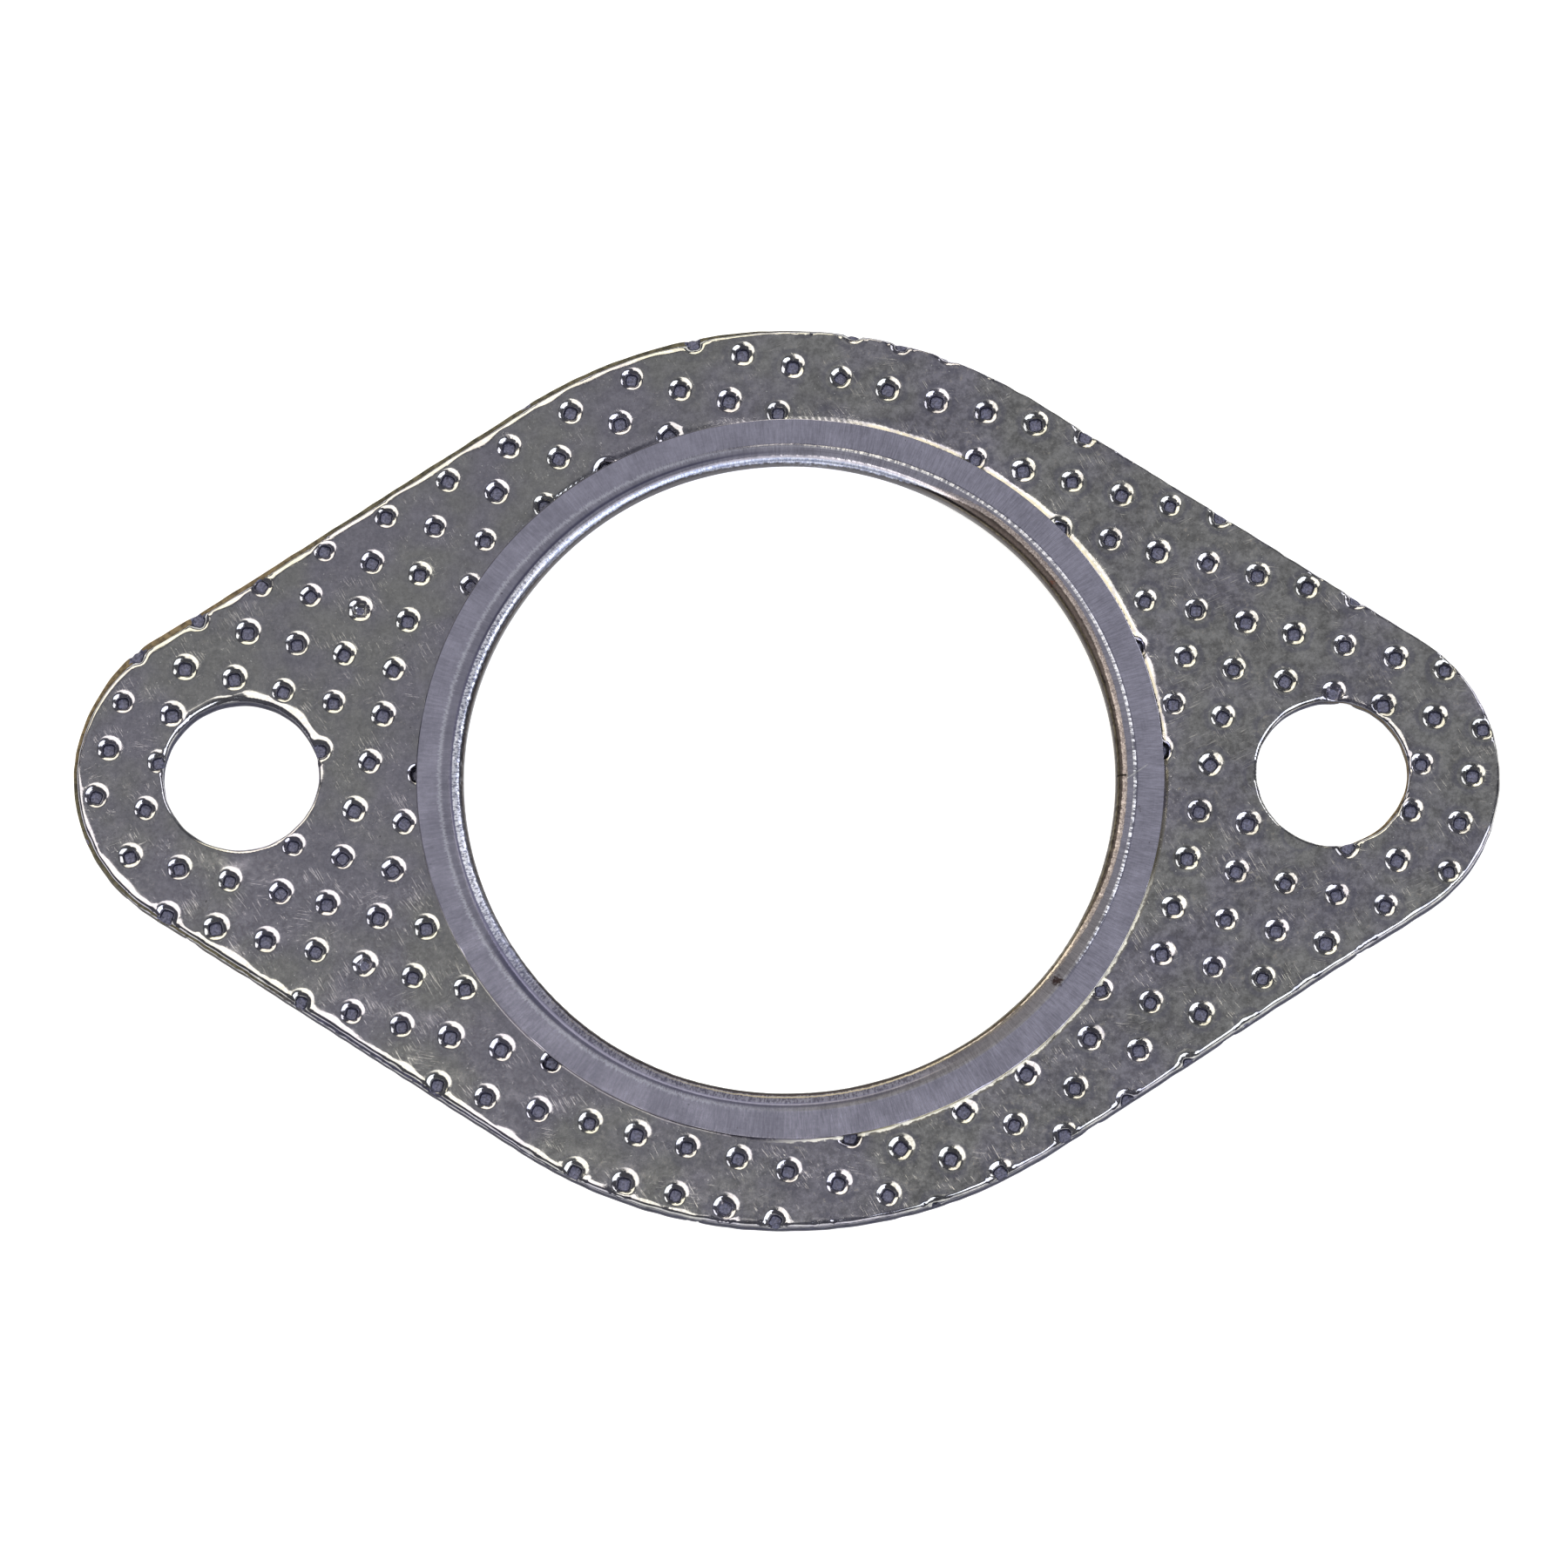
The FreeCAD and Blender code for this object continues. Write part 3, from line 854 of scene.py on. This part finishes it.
def ring_places(s, spot):
    """What the ring's colours go by: where a place is on the strip, and noises along it."""
    x, y, z = s.parts(spot)
    plain_radius = s.length(x, y)
    cosine = s.math("DIVIDE", x, plain_radius)
    growth = s.minus(FLANGE_GROWTH, s.times(cosine, cosine, FLANGE_GROWTH))
    rim = s.plus(FLANGE_RADIUS, growth, s.times(cosine, FLANGE_SHIFT))
    slip = s.times(s.ramp(cosine, -0.3, -1.05), BORE_SLIP, s.ramp(plain_radius, 27, 26.5))
    radius = s.plus(plain_radius, slip)
    round_way = s.times(s.math("ARCTAN2", y, x), BORE_RADIUS)
    polar = s.add("ShaderNodeCombineXYZ", X=round_way, Y=radius, Z=z).outputs[0]
    west = s.ramp(x, 4, -10)
    return SimpleNamespace(
        spot=spot,
        x=x,
        y=y,
        radius=radius,
        from_rim=s.minus(rim, plain_radius),
        polar=polar,
        creases=s.noise(s.scaled(polar, (5, 0.5, 0.5)), 1, 3, 0.6),
        fine=s.noise(s.scaled(polar, (14, 1.2, 1.2)), 1, 2, 0.6),
        clouds=s.noise(spot, 0.4, 4, 0.6),
        grit=s.noise(spot, 3.5, 5, 0.75),
        torn=s.plus(radius, s.ramp(s.noise(spot, 3.2, 3, 0.6), 0.3, 0.7, -0.03, 0.03)),
        west=west,
        beneath=s.most(west, s.times(s.ramp(y, -12, -20), s.ramp(x, 14, 6))),
        sooty=s.ramp(x, 8, 17),
        roll_start=s.ramp(y, 8, 20, 26.72, 26.28),
    )


def strip_colour(s, at):
    """Bluish steel with fine radial lines, painted shade inside the step on the left, browner at the lower
    right.
    """
    inner = s.ramp(at.radius, 27.35, 27.2)
    base = s.mix(inner, (0.48, 0.47, 0.585), (0.45, 0.44, 0.53))
    brownish = s.times(inner, s.ramp(at.y, -4, -14), s.ramp(at.x, -4, 6))
    base = s.coat(base, (0.42, 0.395, 0.41), brownish)
    # Painted shade: darker and bluish inside the step on the left.
    base = s.coat(base, (0.22, 0.22, 0.31), s.ramp(at.radius, 27.3, 26.8), at.west, 0.45)
    along = s.noise(s.scaled(at.polar, (0.3, 8, 1)), 1, 3, 0.6)
    level = s.plus(
        s.ramp(at.clouds, 0.3, 0.7, 0.92, 1.12),
        s.ramp(at.creases, 0.3, 0.7, -0.08, 0.08),
        s.times(s.ramp(at.x, -10, 10, 0.4, 1), s.ramp(at.fine, 0.3, 0.7, -0.13, 0.13)),
        s.ramp(along, 0.3, 0.7, -0.03, 0.03),
        s.ramp(at.grit, 0.3, 0.7, -0.06, 0.06),
    )
    return s.brighten(base, level)


def step_highlights(s, at):
    """A painted highlight along the step: a row of bright ticks, on the right and at the top."""
    ticks = s.noise(s.scaled(at.polar, (4.5, 1, 1)), 1, 2, 0.6)
    side = s.times(s.ramp(at.x, -4, 8), s.ramp(at.y, -20, -9, 0.25, 1))
    least = s.ramp(at.y, 0, 10, 0.2, 0.45)
    band = s.band(at.radius, 27.06, 27.14, 27.32, 27.4)
    return s.times(band, side, s.ramp(ticks, 0.4, 0.6, least, 1))


def step_highlight_line(s, at):
    """A painted highlight: a soft light line along the step, on the left."""
    feather = s.ramp(s.noise(s.scaled(at.polar, (9, 1, 1)), 1, 2, 0.6), 0.3, 0.7, -0.12, 0.12)
    painted_line = s.band(s.plus(at.radius, feather), 26.98, 27.2, 27.24, 27.46)
    return s.times(painted_line, at.west, s.ramp(at.grit, 0.3, 0.7, 0.4, 1))


def rim_colour(s, at, base):
    """The rim of the flange has a painted shadow on the left and is yellowish at the lower right."""
    # Painted shadow: dark along the rim on the left.
    dark = s.times(s.ramp(at.from_rim, 0.11, 0.05), s.ramp(at.x, 0, -8), 0.9)
    base = s.coat(base, (0.04, 0.04, 0.06), dark)
    yellowish = s.times(s.ramp(at.from_rim, 0.06, 0.02), s.ramp(at.x, 0, 8), s.ramp(at.y, 0, -8))
    return s.coat(base, (0.36, 0.33, 0.24), yellowish)


def left_roll_colour(s, at, base):
    """On the left, the roll has painted light: lit and shaded bluish wrinkles, a painted shade line outside
    them, bright painted highlight dashes and painted shade at the edge of the gas passage.
    """
    # Painted highlight and shade: lit and shaded speckles where the roll bends, lighter at the top and darker
    # at the bottom.
    wrinkle_light_and_shade = s.ramp(at.radius, at.roll_start, s.minus(at.roll_start, 0.08))
    wrinkle_light_and_shade = s.times(wrinkle_light_and_shade, s.minus(1, at.sooty), 0.9)
    top = s.ramp(at.y, 14, 22)
    bottom = s.ramp(at.y, -12, -20)
    dark = s.mix(top, (0.16, 0.17, 0.27), (0.4, 0.45, 0.66))
    dark = s.mix(bottom, dark, (0.06, 0.06, 0.1))
    light = s.mix(top, (0.5, 0.52, 0.66), (0.78, 0.82, 0.95))
    light = s.mix(bottom, light, (0.24, 0.24, 0.31))
    speckle = s.noise(s.scaled(at.polar, (7, 3.5, 3.5)), 1, 3, 0.65)
    base = s.mix(wrinkle_light_and_shade, base, s.mix(s.ramp(speckle, 0.38, 0.62), dark, light))
    # Painted shade: a dark line outside the wrinkles.
    outer = s.ramp(at.y, -6, -20, 26.86, 27.06)
    painted_line = s.band(at.radius, 26.6, 26.66, s.minus(outer, 0.14), outer)
    painted_line = s.times(painted_line, at.beneath, s.ramp(at.y, -14, -24, 0.85, 0.5))
    base = s.coat(base, (0.1, 0.1, 0.18), painted_line)
    # Painted highlight: bright dashes near the gas passage.
    far = s.times(s.ramp(at.x, -14, -21), s.ramp(at.y, -16, -8))
    dash_highlights = s.times(s.band(at.torn, 26.04, 26.12, 26.56, 26.62), far, s.ramp(speckle, 0.41, 0.54, 0.1, 1))
    base = s.coat(base, (0.86, 0.88, 1), dash_highlights)
    # Painted shade: darker grey at the edge of the gas passage.
    return s.coat(base, (0.11, 0.11, 0.12), s.ramp(at.torn, 26.1, 26.04), far, 0.85)


def soot_and_shade_reach(s, at):
    """How far out the soot on the right and the painted shade elsewhere reach from the gas passage."""
    upper_right = s.times(s.ramp(at.y, 4, 15), at.sooty)
    width = s.plus(s.ramp(at.y, -16, -7, 0.2, 0.46), s.times(upper_right, 0.2))
    return s.plus(
        s.ramp(at.y, 16, 25, 25.85, 26),
        s.times(at.sooty, width),
        s.times(at.beneath, s.ramp(at.y, 20, 5, 0, 0.12)),
        s.times(s.ramp(at.y, -13, -21), 0.13),
    )


def soot_and_shade_colour(s, at, base, edge):
    """A dark edge along the gas passage, soot on the right and painted shade elsewhere, with an olive line in
    it and a yellow one outside it at the bottom.
    """
    dim = s.times(s.ramp(at.y, -12, -20), s.ramp(at.x, 2, 9), s.ramp(at.torn, 26.16, 26.04), 0.85)
    base = s.coat(base, (0.1, 0.088, 0.072), dim)
    # Soot on the right, painted shade elsewhere, at the very edge of the gas passage.
    soot_and_shade = s.times(s.ramp(at.torn, edge, s.minus(edge, 0.1)), 0.94)
    base = s.coat(base, (0.035, 0.028, 0.028), soot_and_shade)
    olive = s.times(s.band(at.torn, 25.84, 25.9, 25.96, 26.02), at.sooty, 0.5)
    base = s.coat(base, (0.22, 0.19, 0.12), olive)
    yellow = s.band(at.torn, edge, s.plus(edge, 0.05), s.plus(edge, 0.1), s.plus(edge, 0.16))
    yellow = s.times(yellow, s.ramp(at.y, -13, -21), s.ramp(at.x, -12, 0, 0.2, 0.8))
    return s.coat(base, (0.62, 0.55, 0.42), yellow)


def ring_marks(s, at, base):
    """The seam of the strip, a painted highlight along a groove across it, three patches of rust and small
    dark dots.
    """
    seam = s.ramp(s.math("ABSOLUTE", s.plus(at.y, 0.16)), 0.11, 0.05)
    seam = s.times(seam, s.ramp(at.x, 25, 25.5), s.ramp(at.radius, 26.65, 26.5), 0.95)
    base = s.coat(base, (0.015, 0.012, 0.012), seam)
    # Painted highlight: a bright line across the seam.
    across = s.minus(s.times(s.minus(at.x, 27), 0.578), s.times(s.plus(at.y, 0.14), 0.816))
    seam_highlight = s.times(s.ramp(s.math("ABSOLUTE", across), 0.07, 0.03), s.band(at.x, 26.5, 26.7, 28.1, 28.3))
    base = s.coat(base, (1, 1, 1), seam_highlight, s.ramp(at.grit, 0.4, 0.6, 0.3, 0.9))
    for place, size in RUST_PATCHES:
        away = s.plus(s.vector("DISTANCE", at.spot, place)["Value"], s.ramp(at.grit, 0.3, 0.7, -0.25, 0.25))
        base = s.coat(base, (0.06, 0.028, 0.022), s.ramp(away, size, size * 0.6, 0, 0.9))
    dots = s.ramp(s.noise(at.spot, 2.6, 1), 0.79, 0.84)
    return s.coat(base, (0.03, 0.03, 0.05), dots, 0.8)


def ring_material():
    """Rolled strip: bluish flanges, creased and stained where it bends down into the gas passage, with
    painted highlights and painted shade on the step, the rim and the roll.
    """
    material, s, spot = start_material("ring_steel")
    at = ring_places(s, spot)
    base = strip_colour(s, at)
    step_glints = step_highlights(s, at)
    # Painted highlight along the step.
    base = s.coat(base, (0.95, 0.95, 1), step_glints)
    base = s.coat(base, (0.8, 0.81, 0.93), step_highlight_line(s, at))
    edge = soot_and_shade_reach(s, at)
    # Partly a rust stain, partly a painted highlight: a beige band on the right where the roll begins to
    # bend.
    stain_and_highlight = s.times(s.ramp(at.torn, s.plus(edge, 0.37), s.plus(edge, 0.27)), at.sooty)
    stain_and_highlight = s.times(stain_and_highlight, s.ramp(at.y, -20, -8, 0.45, 1))
    flakes = s.ramp(s.noise(spot, 8, 3, 0.7), 0.4, 0.6)
    rust_and_highlight = s.mix(flakes, (0.22, 0.175, 0.165), (0.54, 0.47, 0.44))
    base = s.coat(base, rust_and_highlight, stain_and_highlight, 0.9)
    base = rim_colour(s, at, base)
    base = left_roll_colour(s, at, base)
    base = soot_and_shade_colour(s, at, base, edge)
    base = ring_marks(s, at, base)
    matt = s.times(s.ramp(at.radius, s.plus(at.roll_start, 0.2), at.roll_start), s.minus(1, at.sooty))
    matt = s.times(matt, s.most(s.ramp(at.y, 5, -10, 0.26, 0.42), s.ramp(at.y, 12, 20, 0.26, 0.45)))
    rough = s.most(s.ramp(at.clouds, 0.3, 0.7, 0.1, 0.13), s.times(stain_and_highlight, 0.38), matt, s.times(step_glints, 0.44))
    height = s.plus(at.creases, s.times(at.fine, 0.4))
    s.finish(Base_Color=base, Metallic=1, Roughness=rough, Normal=s.bump(height, 0.25, 0.015))
    return material


def filler_material():
    """Pressed fibre: slate, with painted warm reflections, brown at the upper left and olive to brown inside
    the right hole.
    """
    material, s, spot = start_material("filler_sheet")
    x, y, _ = s.parts(spot)
    fibres = s.noise(s.scaled(spot, (2, 2, 9)), 1, 5, 0.7)
    streaks = s.ramp(fibres, 0.35, 0.65)
    brown = s.mix(streaks, (0.06, 0.04, 0.02), (0.2, 0.145, 0.075))
    olive = s.mix(streaks, (0.025, 0.022, 0.012), (0.11, 0.095, 0.055))
    slate = s.mix(streaks, (0.01, 0.01, 0.025), (0.045, 0.045, 0.09))
    flat = s.scaled(spot, (1, 1, 0))
    away = [s.vector("DISTANCE", flat, (*hole, 0))["Value"] for hole in (LEFT_HOLE, RIGHT_HOLE)]
    near_left, near_right = (s.ramp(distance, 8, 7) for distance in away)
    upper_left = s.times(s.ramp(x, 6, -6), s.ramp(y, 0, 4))
    # Painted warm reflections on the filler's cut sides: brown at the upper left and olive to brown inside
    # the right hole; slate elsewhere.
    shoulder_reflection = s.times(s.most(s.ramp(x, -36, -42), upper_left), s.minus(1, near_left))
    right_hole_reflection = s.times(near_right, s.ramp(x, 41, 44))
    dark = s.most(s.ramp(y, 4, -2), s.ramp(x, -42, -34))
    brown = s.mix(dark, brown, s.mix(right_hole_reflection, olive, brown))
    base = s.mix(s.most(shoulder_reflection, right_hole_reflection), slate, brown)
    s.finish(Base_Color=base, Roughness=0.75, Normal=s.bump(fibres, 0.8, 0.05))
    return material


def pressed_material():
    """The filler at the bottom of the funnels, slate blue and glazed."""
    material, s, spot = start_material("filler_pressed")
    grain = s.noise(spot, 5, 4, 0.7)
    base = s.mix(s.ramp(grain, 0.3, 0.7), (0.035, 0.036, 0.06), (0.14, 0.142, 0.225))
    s.finish(Base_Color=base, Metallic=0.3, Roughness=0.45, Normal=s.bump(grain, 0.8, 0.05))
    return material


def floor_material():
    """White paper that the camera sees as white, with only the object's close shadow on it."""
    material = bpy.data.materials.new("paper")
    s = Shader(material)
    paper = s.add("ShaderNodeBsdfDiffuse", Color=(0.8, 0.8, 0.8)).outputs[0]
    rays = s.add("ShaderNodeLightPath").outputs
    seen = s.most(rays["Is Camera Ray"], rays["Is Glossy Ray"], rays["Is Transmission Ray"])
    lift = s.add("ShaderNodeEmission", Color=(1, 1, 0.995), Strength=s.times(seen, 0.62)).outputs[0]
    both = s.add("ShaderNodeAddShader")
    s.put(both.inputs[0], paper)
    s.put(both.inputs[1], lift)
    out = s.add("ShaderNodeOutputMaterial")
    s.put(out.inputs["Surface"], both.outputs[0])
    return material


# Pieces


def outline_slip(points):
    """The real outline isn't quite even: it stands in most along the bottom edge."""
    return by_angle(points, (
        (0, -0.11), (12, -0.1), (30, -0.1), (50, -0.2), (60, -0.2), (75, 0), (125, 0), (160, -0.12),
        (178, -0.1), (190, -0.18), (200, -0.3), (225, -0.44), (250, -0.62), (275, -0.63), (300, -0.53),
        (315, -0.36), (340, -0.35), (350, -0.15),
    ))


def lower_outline_slip(points):
    """The lower layers stand out past the upper facing along the upper left edge, most at the shoulder."""
    away = (points - (-50, 10.5)) / (7, 5)
    left = by_angle(points, ((70, 0), (95, 0.13), (165, 0.13), (182, 0.1), (192, 0)))
    return outline_slip(points) + np.maximum(left, 0.3 * np.exp(-(away ** 2).sum(1)))


def upper_outline_slip(points):
    """The upper facing is cut short along the upper left edge."""
    return outline_slip(points) - by_angle(points, ((92, 0), (102, 0.13), (170, 0.13), (182, 0.07), (192, 0)))


def lower_hole_slip(points):
    """The lower layers reach into the right hole, most at its lower right."""
    return -0.1 + 0.34 * by_angle(points, ((60, 0), (0, 0.5), (325, 1), (285, 0.6), (250, 0)), RIGHT_HOLE)


def outline_share(points):
    """The sheet rolls down widest along the left edges and least along the upper right one."""
    return by_angle(points, (
        (0, 0.8), (14, 0.6), (60, 0.45), (92, 0.7), (104, 1.9), (168, 1.9), (178, 0.9), (184, 1.2),
        (190, 1.7), (222, 1.7), (235, 1.2), (255, 0.9), (290, 0.9), (325, 1), (345, 0.9),
    ))


def outline_pinch(points):
    """The shears turned the edge down hardest along the lower left."""
    return by_angle(points, (
        (0, 1), (150, 1), (178, 1.4), (188, 3.2), (222, 3.2), (240, 1.8), (300, 1.6), (345, 1),
    ))


def left_hole_share(points):
    """The sheet rolls down widest at the upper right of the left hole."""
    return by_angle(points, (
        (0, 1.2), (40, 2.6), (100, 2.2), (140, 1.4), (170, 0.8), (250, 1.6), (300, 1.6), (330, 0.8),
    ), LEFT_HOLE)


def left_hole_ridge(points):
    """A brushed ridge in the sheet on the lower side of the left hole."""
    reach = np.hypot(*(points - LEFT_HOLE).T) - HOLE_RADIUS
    share = by_angle(points, ((225, 0), (260, 1), (300, 1), (335, 0)), LEFT_HOLE)
    return share * 0.032 * (np.clip((reach - 0.7) / 1.2, 0, 1) ** 1.2 - 1)


def right_hole_share(points):
    """The sheet rolls down nearly evenly round the right hole."""
    return by_angle(points, ((0, 1), (45, 1.2), (100, 1), (150, 1), (200, 0.7), (300, 0.9)), RIGHT_HOLE)


def layer_edges(lower, roll):
    """The edges of one layer. The roll is the share of the upper facing's."""
    outline, right = (lower_outline_slip, lower_hole_slip) if lower else (upper_outline_slip, no_slip)
    right_radius, left_radius = HOLE_RADIUS - 0.05, HOLE_RADIUS + 0.1
    return [
        Edge(None, 0.0, outline, 0.16 * roll, 0.42, outline_share, outline_pinch, 20),
        Edge(RIGHT_HOLE, right_radius, right, 0.13 * roll, 0.34, right_hole_share, plain, 30),
        Edge(LEFT_HOLE, left_radius, no_slip, 0.13 * roll, 0.36, left_hole_share, plain, 36),
        Edge((0.0, 0.0), LAYER_RADIUS, no_slip, 0.0, 0.1, plain, plain, 50),
    ]


steel = facing_material()
sheet_materials = [steel, sheared_material()]
filler_materials = [filler_material(), pressed_material()]
upper_funnels = Funnels(False, 7)
lower_funnels = Funnels(True, 8)
upper_edges = layer_edges(False, 1.0)
lower_edges = layer_edges(True, 0.02)
filler_edges = layer_edges(True, 0.0)
upper_facing = make_facing("punched_upper_facing", upper_edges, upper_funnels, False, sheet_materials)
lower_facing = make_facing("punched_lower_facing", lower_edges, lower_funnels, True, sheet_materials)
filler = make_filler("pressed_filler", filler_edges, upper_funnels, lower_funnels, filler_materials)
fire_ring = make_ring("rolled_fire_ring", ring_material())

for piece, node, slot in (
    (upper_facing, "upper_facing", "facing_steel"),
    (lower_facing, "lower_facing", "facing_steel"),
    (filler, "filler", "filler_sheet"),
    (fire_ring, "fire_ring", "ring_steel"),
):
    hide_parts(node)
    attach(piece, "root")
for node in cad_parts.values():
    node.data.materials.clear()
    node.data.materials.append(steel)

# Floor, lamps and camera

floor_mesh = bpy.data.meshes.new("floor")
floor_mesh.from_pydata([(-4, -4, 0), (4, -4, 0), (4, 4, 0), (-4, 4, 0)], [], [(0, 1, 2, 3)])
floor_mesh.materials.append(floor_material())
floor = add_object("floor", floor_mesh)
floor.location.z = -0.02 * MM


def softbox(name, azimuth, tilt, width, height, radiance, tone, roll=0.0):
    """A flat lamp 1 m from the gasket. Azimuth runs from +X to +Y and tilt is from the zenith, in degrees."""
    a, t = math.radians(azimuth), math.radians(tilt)
    way = Vector((math.cos(a) * math.sin(t), math.sin(a) * math.sin(t), math.cos(t)))
    lamp = bpy.data.lights.new(name, "AREA")
    lamp.shape = "RECTANGLE"
    lamp.size, lamp.size_y = width, height
    lamp.energy = radiance * math.pi * width * height
    lamp.color = tone
    # The lamp's height runs towards the zenith.
    up = (Vector((0, 0, 1)) - way * way.z).normalized()
    aim = Matrix((up.cross(way), up, way)).transposed()
    spin = Matrix.Rotation(math.radians(roll), 3, "Z")
    thing = add_object(name, lamp)
    thing.location = way
    thing.rotation_mode = "QUATERNION"
    thing.rotation_quaternion = (aim @ spin).to_quaternion()


CREAM = (1.0, 0.95, 0.83)
BLUISH = (0.9, 0.94, 1.0)
WARM = (1.0, 0.93, 0.72)
WHITE = (1.0, 1.0, 1.0)
softbox("cream_box", 185, 27, 0.67, 0.8, 3.0, CREAM, -21)
softbox("blue_box", -31, 41, 0.84, 0.62, 4.2, BLUISH)
softbox("warm_box", 113, 60, 1.05, 0.5, 3.2, WARM)
softbox("white_box", 42, 53, 0.4, 0.36, 3.2, WHITE)

# The sky is plain and dim, and brighter where the flat sheet mirrors it.
MIRRORED = (0.0, 0.292, 0.956)
world = bpy.data.worlds.new("studio")
bpy.context.scene.world = world
w = Shader(world)
direction = w.add("ShaderNodeTexCoord").outputs["Generated"]
facing = w.vector("DOT_PRODUCT", direction, MIRRORED)["Value"]
off = w.math("ARCCOSINE", w.math("MINIMUM", facing, 1.0))
near = w.ramp(off, math.radians(14), math.radians(32), 1.0, 0.0)
sky = w.mix(near, (0.15, 0.15, 0.17), (0.4, 0.4, 0.41))
background = w.add("ShaderNodeBackground", Color=sky, Strength=1.0).outputs[0]
world_out = w.add("ShaderNodeOutputWorld")
w.put(world_out.inputs["Surface"], background)

camera = add_object("camera", bpy.data.cameras.new("camera"))
camera.data.sensor_width = 36.0
camera.data.lens = 187.65
camera.data.clip_start = 0.05
camera.data.clip_end = 20.0
camera.location = (0.00489, -0.188696, 0.61306)
camera.rotation_euler = (math.radians(17.09216), math.radians(0.48789), math.radians(-0.0227))
bpy.context.scene.camera = camera
bpy.context.scene.view_settings.view_transform = "Standard"
